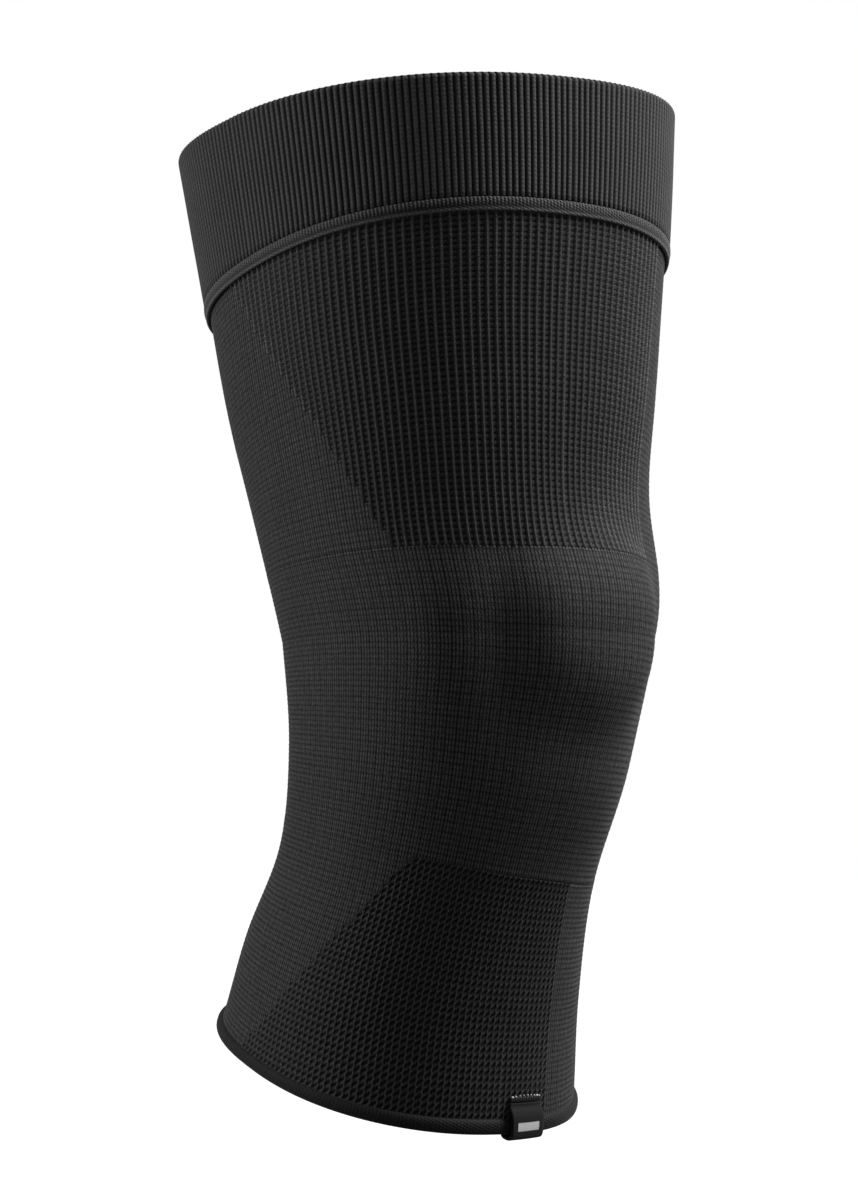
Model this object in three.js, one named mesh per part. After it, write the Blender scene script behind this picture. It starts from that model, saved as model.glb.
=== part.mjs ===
// A knitted knee sleeve, in the shape that it takes on a slightly bent leg.
// Millimetres. +Z is up, the kneecap faces -Y, and the origin is on the leg's axis at the knee.
// The knit tube is shaped by the leg. A ribbed cuff is sewn to its top with a narrow seam band,
// a hem closes its bottom edge, and a small loop label is stitched over the hem.
import * as THREE from "three";
import { mergeVertices } from "three/addons/utils/BufferGeometryUtils.js";

// Lengths along the leg's axis, from the knee to each edge
const thighLength = 159;
const calfLength = 141;

// The bend of the knit rows: how far they tip at the thigh and at the shin, and where the bend ends
const thighLean = THREE.MathUtils.degToRad(12.5);
const shinLean = THREE.MathUtils.degToRad(22.5);
const bendAbove = 70;
const bendBelow = 140;

// Half sizes of the leg under the knit, from its axis out to the side, the front and the back
const kneeHalf = { side: 51.5, front: 50, back: 56.5 };
const thighHalf = { side: 70.5, front: 75, back: 75 };
const calfHalf = { side: 51.5, front: 54.5, back: 55.5 };
const cornerFullness = 2.25; // 2 is an ellipse, and more is fuller at its corners

// Relief of the kneecap, which the other forms of the leg follow
const kneecapRise = 8;
const kneecapReach = 20;

// Knit tube
const knitWall = 1.6;
const tubeColumns = 56;
const kneeRows = 14;
const zoneRows = 6; // in the zones above and below the knee

// Ribbed cuff and the seam band that joins it to the tube
const cuffHeight = 49; // from the band's lower edge to the top edge
const cuffWall = 2.8;
const ribPitch = 2.12;
const ribDepth = 0.5;
const foldRound = 1.2; // how far down the top fold is rounded
const bandHeight = 4;
const bandWall = 1.3;

// Hem at the calf
const hemHeight = 4.2;
const hemWall = 1;
const hemLip = 1.2;

// Loop label over the hem, and the bar of stitches that holds its top
const labelWidth = 12.5;
const labelRise = 8.6; // from the hem's edge up the outside
const labelTuck = 8; // from the hem's edge up the inside
const labelTape = 1;
const labelAngle = THREE.MathUtils.degToRad(9); // from the front's middle towards +X
const tackHeight = 1.7;
const tackThickness = 1;
const tackInset = 0.4; // the bar is this much shorter than the label's width at each end

const gap = 0.3; // clearance between pieces that are sewn together

// Zones of the knit tube, from the knee to their edges, and the panels of open knit in two of them.
// The panels' borders are degrees from the front towards +X, at each panel's top and bottom edge.
const kneeZoneAbove = 21;
const kneeZoneBelow = 66;
const thighPanel = { leftAtTop: -102, leftAtBottom: -55, right: 34 };
const calfPanel = { leftAtTop: -46, leftAtBottom: -100, right: 20 };

// How much higher each edge lies at the front, and on the +X side, than the knit rows there
const topRise = { front: -7, side: 0 };
const seamRise = { front: 1.5, side: -2.5 };
const kneeTopRise = { front: 0, side: -2 };
const kneeLowRise = { front: 0, side: -6 };
const hemRise = { front: 3, side: -0.6 };

// Sections of the leg. along: share of the calf's length below the knee, or of the thigh's above it.
// side, front, back: shares of the plain taper from the knee's half size to that end's.
// toSide, toBack: how far the leg's middle lies from the rows' axis towards +X and towards the back,
// as shares of the knee's half size to the side.
const legSections = [
  { along: -1.0, side: 1.0, front: 1.0, back: 1.0, toSide: 0.05, toBack: 0.3 },
  { along: -0.75, side: 0.93, front: 0.92, back: 0.93, toSide: 0.02, toBack: 0.3 },
  { along: -0.5, side: 0.87, front: 0.89, back: 0.82, toSide: 0.02, toBack: 0.22 },
  { along: -0.25, side: 0.94, front: 0.96, back: 0.88, toSide: 0.02, toBack: 0.08 },
  { along: 0.0, side: 1.0, front: 1.0, back: 1.0, toSide: 0.01, toBack: 0 },
  { along: 0.25, side: 1.01, front: 0.94, back: 1.02, toSide: 0, toBack: 0.02 },
  { along: 0.5, side: 1.02, front: 0.97, back: 1.03, toSide: 0.01, toBack: 0.01 },
  { along: 0.75, side: 1.01, front: 1.0, back: 1.02, toSide: 0.03, toBack: -0.03 },
  { along: 1.0, side: 1.0, front: 1.0, back: 1.0, toSide: 0.035, toBack: -0.08 },
];

// Rounded forms on the leg. along: as above. around: degrees from the front towards +X.
// rise and reachAlong: shares of kneecapRise and kneecapReach. reachAround: degrees.
// firm: 1 is a soft swell, and 2 is a form with a flat top and steeper edges.
const legForms = [
  { name: "kneecap", along: 0, around: 12, rise: 0.95, reachAlong: 1.15, reachAround: 30, firm: 1.7 },
  { name: "kneecap tendon", along: -0.25, around: 12, rise: 0.2, reachAlong: 1, reachAround: 24, firm: 1 },
  { name: "above kneecap", along: 0.26, around: 34, rise: -0.25, reachAlong: 1, reachAround: 34, firm: 1 },
  { name: "beside it, -X", along: -0.02, around: -20, rise: -0.14, reachAlong: 1.3, reachAround: 8, firm: 1 },
  { name: "beside it, +X", along: 0.02, around: 50, rise: -0.06, reachAlong: 1, reachAround: 9, firm: 1 },
  { name: "bone's end, -X", along: 0, around: -44, rise: 0.25, reachAlong: 1, reachAround: 16, firm: 1 },
  { name: "bone's end, +X", along: 0.06, around: 66, rise: 0.5, reachAlong: 1.3, reachAround: 20, firm: 1 },
  { name: "knee's back", along: -0.12, around: 180, rise: -0.3, reachAlong: 1.6, reachAround: 34, firm: 1 },
];

// The axis of the knit rows: straight along the thigh, and one arc from above the knee down.
const bendCurve = (thighLean + shinLean) / (bendAbove + bendBelow);
const leanAtKnee = bendCurve * bendBelow - shinLean;

function axisAt(along) {
  const inBend = THREE.MathUtils.clamp(along, -bendBelow, bendAbove);
  const lean = leanAtKnee + bendCurve * inBend;
  const straight = along - inBend;
  return {
    y: (Math.cos(leanAtKnee) - Math.cos(lean)) / bendCurve + straight * Math.sin(lean),
    z: (Math.sin(lean) - Math.sin(leanAtKnee)) / bendCurve + straight * Math.cos(lean),
    lean,
  };
}

function lengthShare(along) {
  return along < 0 ? along / calfLength : along / thighLength;
}

// A cubic through the section table's rows, so the leg has no edge at a row.
function sectionShare(share, column) {
  const last = legSections.length - 1;
  let row = 0;
  while (row < last - 1 && share > legSections[row + 1].along) row += 1;
  const slope = (at) => {
    const low = legSections[Math.max(at - 1, 0)];
    const high = legSections[Math.min(at + 1, last)];
    return (high[column] - low[column]) / (high.along - low.along);
  };
  const [from, to] = [legSections[row], legSections[row + 1]];
  const span = to.along - from.along;
  const t = THREE.MathUtils.clamp((share - from.along) / span, -0.2, 1.2);
  const t2 = t * t;
  const t3 = t2 * t;
  return (
    (2 * t3 - 3 * t2 + 1) * from[column] +
    (t3 - 2 * t2 + t) * span * slope(row) +
    (3 * t2 - 2 * t3) * to[column] +
    (t3 - t2) * span * slope(row + 1)
  );
}

function halfSize(along, column) {
  const share = lengthShare(along);
  const end = share < 0 ? calfHalf : thighHalf;
  const taper = THREE.MathUtils.lerp(kneeHalf[column], end[column], Math.abs(share));
  return taper * sectionShare(share, column);
}

function formRise(along, angle) {
  let rise = 0;
  for (const form of legForms) {
    const formLength = form.along < 0 ? calfLength : thighLength;
    const up = (along - form.along * formLength) / (form.reachAlong * kneecapReach);
    const turn = THREE.MathUtils.radToDeg(angle) - form.around;
    const side = (((turn + 540) % 360) - 180) / form.reachAround;
    rise += form.rise * kneecapRise * Math.exp(-((up * up + side * side) ** form.firm));
  }
  return rise;
}

// A point on the leg. The angle starts at the front and grows towards +X.
function legPoint(along, angle) {
  const axis = axisAt(along);
  const power = 2 / cornerFullness;
  const sine = Math.sin(angle);
  const cosine = Math.cos(angle);
  const rise = formRise(along, angle);
  const depth = halfSize(along, cosine > 0 ? "front" : "back");
  const toSide = sectionShare(lengthShare(along), "toSide") * kneeHalf.side;
  const toBack = sectionShare(lengthShare(along), "toBack") * kneeHalf.side;
  const side = Math.sign(sine) * Math.abs(sine) ** power * halfSize(along, "side") + rise * sine;
  const front = Math.sign(cosine) * Math.abs(cosine) ** power * depth + rise * cosine;
  return new THREE.Vector3(
    toSide + side,
    axis.y - (front - toBack) * Math.cos(axis.lean),
    axis.z + (front - toBack) * Math.sin(axis.lean),
  );
}

function legNormal(along, angle) {
  const step = 0.01;
  const around = legPoint(along, angle + step).sub(legPoint(along, angle - step));
  const up = legPoint(along + 1, angle).sub(legPoint(along - 1, angle));
  return around.cross(up).normalize();
}

// Lengths round a section, so that knit columns keep one pitch all the way round.
const girths = new Map();

function girthAt(along) {
  if (!girths.has(along)) {
    const steps = 144;
    const lengths = [0];
    for (let i = 1; i <= steps; i += 1) {
      const from = legPoint(along, ((i - 1) / steps) * 2 * Math.PI);
      lengths.push(lengths[i - 1] + from.distanceTo(legPoint(along, (i / steps) * 2 * Math.PI)));
    }
    girths.set(along, lengths);
  }
  return girths.get(along);
}

function angleAtShare(along, share) {
  const lengths = girthAt(along);
  const steps = lengths.length - 1;
  const wanted = (share - Math.floor(share)) * lengths[steps];
  let i = 1;
  while (lengths[i] < wanted) i += 1;
  return ((i - 1 + (wanted - lengths[i - 1]) / (lengths[i] - lengths[i - 1])) / steps) * 2 * Math.PI;
}

function shareAtAngle(along, angle) {
  const lengths = girthAt(along);
  const steps = lengths.length - 1;
  const turns = Math.floor(angle / (2 * Math.PI));
  const place = (angle / (2 * Math.PI) - turns) * steps;
  const i = Math.floor(place);
  return turns + THREE.MathUtils.lerp(lengths[i], lengths[i + 1], place - i) / lengths[steps];
}

// Edges of the pieces. An edge is a height along the leg, and how much it rises at the front and
// on the +X side.
const topEdge = { along: thighLength, ...topRise };
const seamEdge = { along: thighLength - cuffHeight, ...seamRise };
const kneeTopEdge = { along: kneeZoneAbove, ...kneeTopRise };
const kneeLowEdge = { along: -kneeZoneBelow, ...kneeLowRise };
const hemEdge = { along: -calfLength, ...hemRise };

function above(edge, distance) {
  return { ...edge, along: edge.along + distance };
}

function between(low, high, share) {
  return {
    along: THREE.MathUtils.lerp(low.along, high.along, share),
    front: THREE.MathUtils.lerp(low.front, high.front, share),
    side: THREE.MathUtils.lerp(low.side, high.side, share),
  };
}

// A point of a fabric piece: on an edge's height, an angle round, and a distance out from the leg.
function fabricPoint(edge, angle, out) {
  const along = edge.along + edge.front * Math.cos(angle) + edge.side * Math.sin(angle);
  return legPoint(along, angle).addScaledVector(legNormal(along, angle), out);
}

function ring(edge, columns, outAt) {
  const out = typeof outAt === "function" ? outAt : () => outAt;
  return Array.from({ length: columns }, (_, i) =>
    fabricPoint(edge, angleAtShare(edge.along, i / columns), out(i)),
  );
}

// A closed wall from rings in order: up the outside, over the top and down the inside.
// Neighbouring rings may differ in their number of columns.
function wallOfRings(rings) {
  const positions = rings.flat().flatMap((point) => point.toArray());
  const firsts = [];
  rings.reduce((sum, points) => {
    firsts.push(sum);
    return sum + points.length;
  }, 0);
  const index = [];
  rings.forEach((points, r) => {
    const next = (r + 1) % rings.length;
    const n = points.length;
    const m = rings[next].length;
    const low = (i) => firsts[r] + (i % n);
    const high = (j) => firsts[next] + (j % m);
    let i = 0;
    let j = 0;
    while (i < n || j < m) {
      if ((i + 1) * m <= (j + 1) * n) {
        index.push(low(i), low(i + 1), high(j));
        i += 1;
      } else {
        index.push(low(i), high(j + 1), high(j));
        j += 1;
      }
    }
  });
  const geometry = new THREE.BufferGeometry();
  geometry.setAttribute("position", new THREE.Float32BufferAttribute(positions, 3));
  geometry.setIndex(index);
  return geometry;
}

// A strip of fabric across part of the way round: its profile, out from the leg and up from an
// edge, is extruded flat, and then laid on the leg.
function stripOnLeg(profile, edge, middleShare, width, steps) {
  const shape = new THREE.Shape(profile.map(([out, up]) => new THREE.Vector2(out, up)));
  const flat = new THREE.ExtrudeGeometry(shape, { depth: width, steps, bevelEnabled: false });
  flat.deleteAttribute("normal");
  flat.deleteAttribute("uv");
  const geometry = mergeVertices(flat, 0.001);
  const girth = girthAt(edge.along).at(-1);
  const position = geometry.getAttribute("position");
  for (let i = 0; i < position.count; i += 1) {
    const share = middleShare + (width / 2 - position.getZ(i)) / girth;
    const angle = angleAtShare(edge.along, share);
    const point = fabricPoint(above(edge, position.getY(i)), angle, position.getX(i));
    position.setXYZ(i, point.x, point.y, point.z);
  }
  return geometry;
}

// A closed wall over part of the way round, between two edges. sharesAt gives the shares of the
// way round at which the wall starts and ends on each row.
function wallPatch(low, high, rows, columns, sharesAt) {
  const width = columns + 1;
  const sheet = (out) =>
    Array.from({ length: (rows + 1) * width }, (_, i) => {
      const up = Math.floor(i / width) / rows;
      const edge = between(low, high, up);
      const [start, end] = sharesAt(up);
      const share = THREE.MathUtils.lerp(start, end, (i % width) / columns);
      return fabricPoint(edge, angleAtShare(edge.along, share), out).toArray();
    });
  const index = [];
  const quad = (a, b, c, d) => index.push(a, b, c, a, c, d);
  const inner = (rows + 1) * width;
  for (let r = 0; r < rows; r += 1) {
    for (let c = 0; c < columns; c += 1) {
      const at = r * width + c;
      quad(at, at + 1, at + width + 1, at + width);
      quad(inner + at, inner + at + width, inner + at + width + 1, inner + at + 1);
    }
    const [first, last] = [r * width, r * width + columns];
    quad(first, first + width, inner + first + width, inner + first);
    quad(last, inner + last, inner + last + width, last + width);
  }
  for (let c = 0; c < columns; c += 1) {
    const top = rows * width + c;
    quad(c, inner + c, inner + c + 1, c + 1);
    quad(top, top + 1, inner + top + 1, inner + top);
  }
  const positions = [...sheet(knitWall), ...sheet(0)].flat();
  const geometry = new THREE.BufferGeometry();
  geometry.setAttribute("position", new THREE.Float32BufferAttribute(positions, 3));
  geometry.setIndex(index);
  return geometry;
}

// The borders of a panel as shares of the way round, from its bottom edge (0) to its top edge (1).
function panelBorders(panel, low, high) {
  const shareAt = (edge, degrees) => shareAtAngle(edge.along, THREE.MathUtils.degToRad(degrees));
  const right = shareAt(low, panel.right);
  return (up) => [
    THREE.MathUtils.lerp(shareAt(low, panel.leftAtBottom), shareAt(high, panel.leftAtTop), up),
    right,
  ];
}

// A zone of the tube with a panel in it: the panel, and the plain knit from its right border
// round the back to its left border.
function zoneWithPanel(low, high, panel) {
  const borders = panelBorders(panel, low, high);
  const seam = gap / girthAt(low.along).at(-1);
  const panelColumns = Math.round(tubeColumns * (borders(0.5)[1] - borders(0.5)[0]));
  return {
    panel: wallPatch(low, high, zoneRows, panelColumns, borders),
    plain: wallPatch(low, high, zoneRows, tubeColumns - panelColumns, (up) => {
      const [left, right] = borders(up);
      return [right + seam, left + 1 - seam];
    }),
  };
}

const thighZone = zoneWithPanel(above(kneeTopEdge, gap), above(seamEdge, bandHeight), thighPanel);
const calfZone = zoneWithPanel(above(hemEdge, hemLip + gap), above(kneeLowEdge, -gap), calfPanel);

// Knee zone: plain knit all the way round, over the kneecap and behind the knee.
function kneeZoneGeometry() {
  const edges = Array.from({ length: kneeRows + 1 }, (_, i) =>
    between(kneeLowEdge, kneeTopEdge, i / kneeRows),
  );
  const outside = edges.map((edge) => ring(edge, tubeColumns, knitWall));
  const inside = edges.map((edge) => ring(edge, tubeColumns, 0));
  return wallOfRings([...outside, ...inside.reverse()]);
}

// Seam band: the turned edge that is sewn over the tube's top.
function seamBandGeometry() {
  const inner = knitWall + gap;
  const outer = inner + bandWall;
  const round = bandWall / 3;
  return wallOfRings([
    ring(seamEdge, tubeColumns, outer - round),
    ring(above(seamEdge, round), tubeColumns, outer),
    ring(above(seamEdge, bandHeight - round), tubeColumns, outer),
    ring(above(seamEdge, bandHeight), tubeColumns, outer - round),
    ring(above(seamEdge, bandHeight), tubeColumns, inner),
    ring(seamEdge, tubeColumns, inner),
  ]);
}

// Ribbed cuff: a doubled band whose ribs run up to the rounded top fold.
function cuffGeometry() {
  const low = above(seamEdge, bandHeight + gap);
  const ribCount = Math.round(girthAt(topEdge.along).at(-1) / ribPitch);
  const ribbed = (edge, out) => ring(edge, 2 * ribCount, (i) => out - (i % 2) * ribDepth);
  const inner = gap;
  return wallOfRings([
    ribbed(low, cuffWall),
    ribbed(between(low, topEdge, 0.5), cuffWall),
    ribbed(above(topEdge, -foldRound), cuffWall),
    ring(topEdge, tubeColumns, cuffWall - foldRound * 0.8),
    ring(topEdge, tubeColumns, inner + foldRound * 0.6),
    ring(above(topEdge, -foldRound), tubeColumns, inner),
    ring(between(low, topEdge, 0.5), tubeColumns, inner),
    ring(low, tubeColumns, inner),
  ]);
}

// Hem: its lip closes the tube's lower edge, and its leaf lies on the outside.
function hemGeometry() {
  const inner = knitWall + gap;
  const outer = inner + hemWall;
  const round = hemWall / 2;
  return wallOfRings([
    ring(hemEdge, tubeColumns, outer - 2 * round),
    ring(above(hemEdge, round), tubeColumns, outer - 0.3 * round),
    ring(above(hemEdge, hemHeight * 0.5), tubeColumns, outer),
    ring(above(hemEdge, hemHeight - round), tubeColumns, outer - 0.3 * round),
    ring(above(hemEdge, hemHeight), tubeColumns, outer - round),
    ring(above(hemEdge, hemHeight), tubeColumns, inner),
    ring(above(hemEdge, hemLip), tubeColumns, inner),
    ring(above(hemEdge, hemLip), tubeColumns, 0),
    ring(above(hemEdge, round), tubeColumns, -0.1),
    ring(hemEdge, tubeColumns, round),
  ]);
}

const labelShare = shareAtAngle(hemEdge.along, labelAngle);
const labelSteps = 4;

// Loop label: a tape folded under the hem, with one leaf outside and one inside.
function labelGeometry() {
  const overHem = knitWall + gap + hemWall + gap;
  const onTube = knitWall + gap;
  const hemTop = hemHeight + gap;
  const profile = [
    [overHem, -gap],
    [overHem, hemTop],
    [onTube, hemTop + 1.6],
    [onTube, labelRise],
    [onTube + labelTape, labelRise],
    [onTube + labelTape, hemTop + 1.9],
    [overHem + labelTape, hemTop + 0.3],
    [overHem + labelTape, -gap - 0.4 * labelTape],
    [overHem, -gap - labelTape],
    [-gap, -gap - labelTape],
    [-gap - labelTape, -gap - 0.4 * labelTape],
    [-gap - labelTape, labelTuck],
    [-gap, labelTuck],
    [-gap, -gap],
  ].reverse();
  return stripOnLeg(profile, hemEdge, labelShare, labelWidth, labelSteps);
}

// Bar tack: the row of dense stitches along the label's top edge.
function barTackGeometry() {
  const low = labelRise + gap;
  const inner = knitWall + gap;
  const round = tackThickness / 2;
  const profile = [
    [inner, low],
    [inner + tackThickness - round, low],
    [inner + tackThickness, low + round],
    [inner + tackThickness, low + tackHeight - round],
    [inner + tackThickness - round, low + tackHeight],
    [inner, low + tackHeight],
  ];
  return stripOnLeg(profile, hemEdge, labelShare, labelWidth - 2 * tackInset, labelSteps);
}

const knit = new THREE.MeshStandardMaterial({ color: 0x1b1b1c, roughness: 0.85 });
const openKnit = new THREE.MeshStandardMaterial({ color: 0x151516, roughness: 0.9 });
const ribKnit = new THREE.MeshStandardMaterial({ color: 0x262627, roughness: 0.8 });
const bandKnit = new THREE.MeshStandardMaterial({ color: 0x303031, roughness: 0.8 });
const hemKnit = new THREE.MeshStandardMaterial({ color: 0x1f1f20, roughness: 0.85 });
const tape = new THREE.MeshStandardMaterial({ color: 0x161617, roughness: 0.6 });
const thread = new THREE.MeshStandardMaterial({ color: 0x0e0e0f, roughness: 0.5 });

const pieces = [
  ["knee_knit", kneeZoneGeometry(), knit],
  ["thigh_plain_knit", thighZone.plain, knit],
  ["thigh_open_knit", thighZone.panel, openKnit],
  ["calf_plain_knit", calfZone.plain, knit],
  ["calf_open_knit", calfZone.panel, openKnit],
  ["thigh_cuff", cuffGeometry(), ribKnit],
  ["cuff_seam_band", seamBandGeometry(), bandKnit],
  ["calf_hem", hemGeometry(), hemKnit],
  ["hem_label", labelGeometry(), tape],
  ["label_bar_tack", barTackGeometry(), thread],
];

const sleeve = new THREE.Group();
for (const [name, geometry, material] of pieces) {
  const mesh = new THREE.Mesh(geometry, material);
  mesh.name = name;
  sleeve.add(mesh);
}

export default sleeve;
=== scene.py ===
# %% [markdown]
# # A knitted knee sleeve
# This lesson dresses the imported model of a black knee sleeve. The model is loaded first, as a frame
# that is never moved or changed. The sleeve is a tube of fine elastic knit, shaped by a slightly
# bent leg. It has a ribbed cuff at the thigh, two panels of open knit, a rolled hem and a small
# loop label. A knit could be painted on a smooth tube with bump alone. Here its stitches are real
# relief instead, because an outline and a grazing light show them.

# %% The frame
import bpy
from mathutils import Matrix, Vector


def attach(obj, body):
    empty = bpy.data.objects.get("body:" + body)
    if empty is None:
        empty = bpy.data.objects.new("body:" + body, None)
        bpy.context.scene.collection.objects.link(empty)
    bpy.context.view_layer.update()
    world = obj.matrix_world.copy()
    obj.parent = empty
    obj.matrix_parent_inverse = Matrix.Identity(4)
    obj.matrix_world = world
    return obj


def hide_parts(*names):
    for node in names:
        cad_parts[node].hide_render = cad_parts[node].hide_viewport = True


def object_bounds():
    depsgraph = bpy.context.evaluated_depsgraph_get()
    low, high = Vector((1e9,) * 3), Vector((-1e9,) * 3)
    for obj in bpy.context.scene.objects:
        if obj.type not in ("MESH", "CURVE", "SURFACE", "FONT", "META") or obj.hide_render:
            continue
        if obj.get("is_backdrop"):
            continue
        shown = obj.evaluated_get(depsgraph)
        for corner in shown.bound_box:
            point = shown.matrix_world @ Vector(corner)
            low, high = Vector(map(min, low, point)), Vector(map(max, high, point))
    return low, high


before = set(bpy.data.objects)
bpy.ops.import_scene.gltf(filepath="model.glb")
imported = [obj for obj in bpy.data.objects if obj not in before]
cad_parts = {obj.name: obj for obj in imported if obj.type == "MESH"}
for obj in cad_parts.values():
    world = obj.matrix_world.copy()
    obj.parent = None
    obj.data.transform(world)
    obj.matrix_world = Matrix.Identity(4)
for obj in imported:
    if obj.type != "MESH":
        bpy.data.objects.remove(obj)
cad_low, cad_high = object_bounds()
print("solids in the frame:", ", ".join(sorted(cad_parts)))

# %% Tools and units
import math
import bpy
import numpy as np
from mathutils import Vector

MM = 0.001  # the sleeve's sizes are written in millimetres, and Blender gets metres
print("frame box in mm:", [round(v / MM, 1) for v in (cad_high - cad_low)])

# %% [markdown]
# ## The leg under the knit
# The knit has no form of its own: it takes the leg's. So one function gives a point of the leg for
# a height along it and an angle round it, and every piece of cloth is laid on that surface. The
# frame's own meshes could be subdivided instead, but their facets would show. A formula gives the
# same form at any fineness.

# %% Sizes of the leg
THIGH_LENGTH = 159
CALF_LENGTH = 141
THIGH_LEAN = math.radians(12.5)
SHIN_LEAN = math.radians(22.5)
BEND_ABOVE = 70
BEND_BELOW = 140
KNEE_HALF = {"side": 51.5, "front": 50, "back": 56.5}
THIGH_HALF = {"side": 70.5, "front": 75, "back": 75}
CALF_HALF = {"side": 51.5, "front": 54.5, "back": 55.5}
CORNER_FULLNESS = 2.25
KNEECAP_RISE = 8
KNEECAP_REACH = 20

# along is a share of the calf's length below the knee, or of the thigh's above it
SECTION_COLUMNS = ("along", "side", "front", "back", "to_side", "to_back")
SECTIONS = [
    (-1.0, 1.0, 1.0, 1.0, 0.05, 0.3),
    (-0.75, 0.93, 0.92, 0.93, 0.02, 0.3),
    (-0.5, 0.87, 0.89, 0.82, 0.02, 0.22),
    (-0.25, 0.94, 0.96, 0.88, 0.02, 0.08),
    (0.0, 1.0, 1.0, 1.0, 0.01, 0),
    (0.25, 1.01, 0.94, 1.02, 0, 0.02),
    (0.5, 1.02, 0.97, 1.03, 0.01, 0.01),
    (0.75, 1.01, 1.0, 1.02, 0.03, -0.03),
    (1.0, 1.0, 1.0, 1.0, 0.035, -0.08),
]
# rounded forms: rise and reach_along are shares of the kneecap's, around and reach_around degrees
FORM_COLUMNS = ("along", "around", "rise", "reach_along", "reach_around", "firm")
FORMS = [
    (0, 12, 0.95, 1.15, 30, 1.7),  # the kneecap
    (-0.25, 12, 0.2, 1, 24, 1),  # the tendon below it
    (0.26, 34, -0.25, 1, 34, 1),  # the hollow above it
    (-0.02, -20, -0.14, 1.3, 8, 1),  # the hollow on its -X side
    (0.02, 50, -0.06, 1, 9, 1),  # the hollow on its +X side
    (0, -44, 0.25, 1, 16, 1),  # the end of the thigh bone, -X
    (0.06, 66, 0.5, 1.3, 20, 1),  # the end of the thigh bone, +X
    (-0.12, 180, -0.3, 1.6, 34, 1),  # the knee's back
]
print(len(SECTIONS), "sections and", len(FORMS), "rounded forms")

# %% The leg's surface
BEND_CURVE = (THIGH_LEAN + SHIN_LEAN) / (BEND_ABOVE + BEND_BELOW)
LEAN_AT_KNEE = BEND_CURVE * BEND_BELOW - SHIN_LEAN
SECTION = dict(zip(SECTION_COLUMNS, np.array(SECTIONS, float).T))
SLOPES = {name: np.gradient(values, SECTION["along"]) for name, values in SECTION.items()}
PAST_END = 0.2  # how far the curve may run on past the table, as a share of a span


def cubic(t, low, high, low_slope, high_slope):
    """A curve from low to high as t goes from 0 to 1, with a slope at each end."""
    from_low = (2 * t**3 - 3 * t**2 + 1) * low + (t**3 - 2 * t**2 + t) * low_slope
    return from_low + (3 * t**2 - 2 * t**3) * high + (t**3 - t**2) * high_slope


def section_share(share, column):
    """A curve through a column of the section table."""
    at, values, slopes = SECTION["along"], SECTION[column], SLOPES[column]
    i = np.clip(np.searchsorted(at, share) - 1, 0, len(at) - 2)
    span = at[i + 1] - at[i]
    t = np.clip((share - at[i]) / span, -PAST_END, 1 + PAST_END)
    return cubic(t, values[i], values[i + 1], span * slopes[i], span * slopes[i + 1])


def half_size(share, column):
    end = np.where(share < 0, CALF_HALF[column], THIGH_HALF[column])
    taper = KNEE_HALF[column] + (end - KNEE_HALF[column]) * np.abs(share)
    return taper * section_share(share, column)


def form_rise(along, angle):
    rise = 0
    for values in FORMS:
        form = dict(zip(FORM_COLUMNS, values))
        middle = form["along"] * (CALF_LENGTH if form["along"] < 0 else THIGH_LENGTH)
        up = (along - middle) / (form["reach_along"] * KNEECAP_REACH)
        # degrees from the form's middle, from -180 to 180
        turn = (np.degrees(angle) - form["around"] + 540) % 360 - 180
        near = (up**2 + (turn / form["reach_around"]) ** 2) ** form["firm"]
        rise = rise + form["rise"] * KNEECAP_RISE * np.exp(-near)
    return rise


def leg_point(along, angle):
    """Points of the leg in mm. The angle starts at the front and grows towards +X."""
    along, angle = np.broadcast_arrays(np.asarray(along, float), np.asarray(angle, float))
    in_bend = np.clip(along, -BEND_BELOW, BEND_ABOVE)
    lean = LEAN_AT_KNEE + BEND_CURVE * in_bend
    axis_y = (math.cos(LEAN_AT_KNEE) - np.cos(lean)) / BEND_CURVE + (along - in_bend) * np.sin(lean)
    axis_z = (np.sin(lean) - math.sin(LEAN_AT_KNEE)) / BEND_CURVE + (along - in_bend) * np.cos(lean)
    share = np.where(along < 0, along / CALF_LENGTH, along / THIGH_LENGTH)
    sine, cosine = np.sin(angle), np.cos(angle)
    power = 2 / CORNER_FULLNESS
    rise = form_rise(along, angle)
    depth = np.where(cosine > 0, half_size(share, "front"), half_size(share, "back"))
    side = np.sign(sine) * np.abs(sine) ** power * half_size(share, "side") + rise * sine
    front = np.sign(cosine) * np.abs(cosine) ** power * depth + rise * cosine
    front = front - section_share(share, "to_back") * KNEE_HALF["side"]
    side = side + section_share(share, "to_side") * KNEE_HALF["side"]
    return np.stack([side, axis_y - front * np.cos(lean), axis_z + front * np.sin(lean)], -1)


def leg_normal(along, angle):
    step = 0.01
    around = leg_point(along, angle + step) - leg_point(along, angle - step)
    up = leg_point(along + 1, angle) - leg_point(along - 1, angle)
    normal = np.cross(around, up)
    return normal / np.linalg.norm(normal, axis=-1, keepdims=True)


print("leg at the knee's front, mm:", leg_point(0, 0).round(1))

# %% [markdown]
# ## Laying cloth on the leg
# Knit columns, called wales, keep one pitch all the way round, so a place round the leg is a share
# of the girth, not an angle. Knit rows, called courses, tip a little to the front and to the side
# as they climb, and each edge of a piece says how much. This is how a real sleeve lies: its wales
# fan out over the thigh, and its courses bend round the knee.

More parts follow.
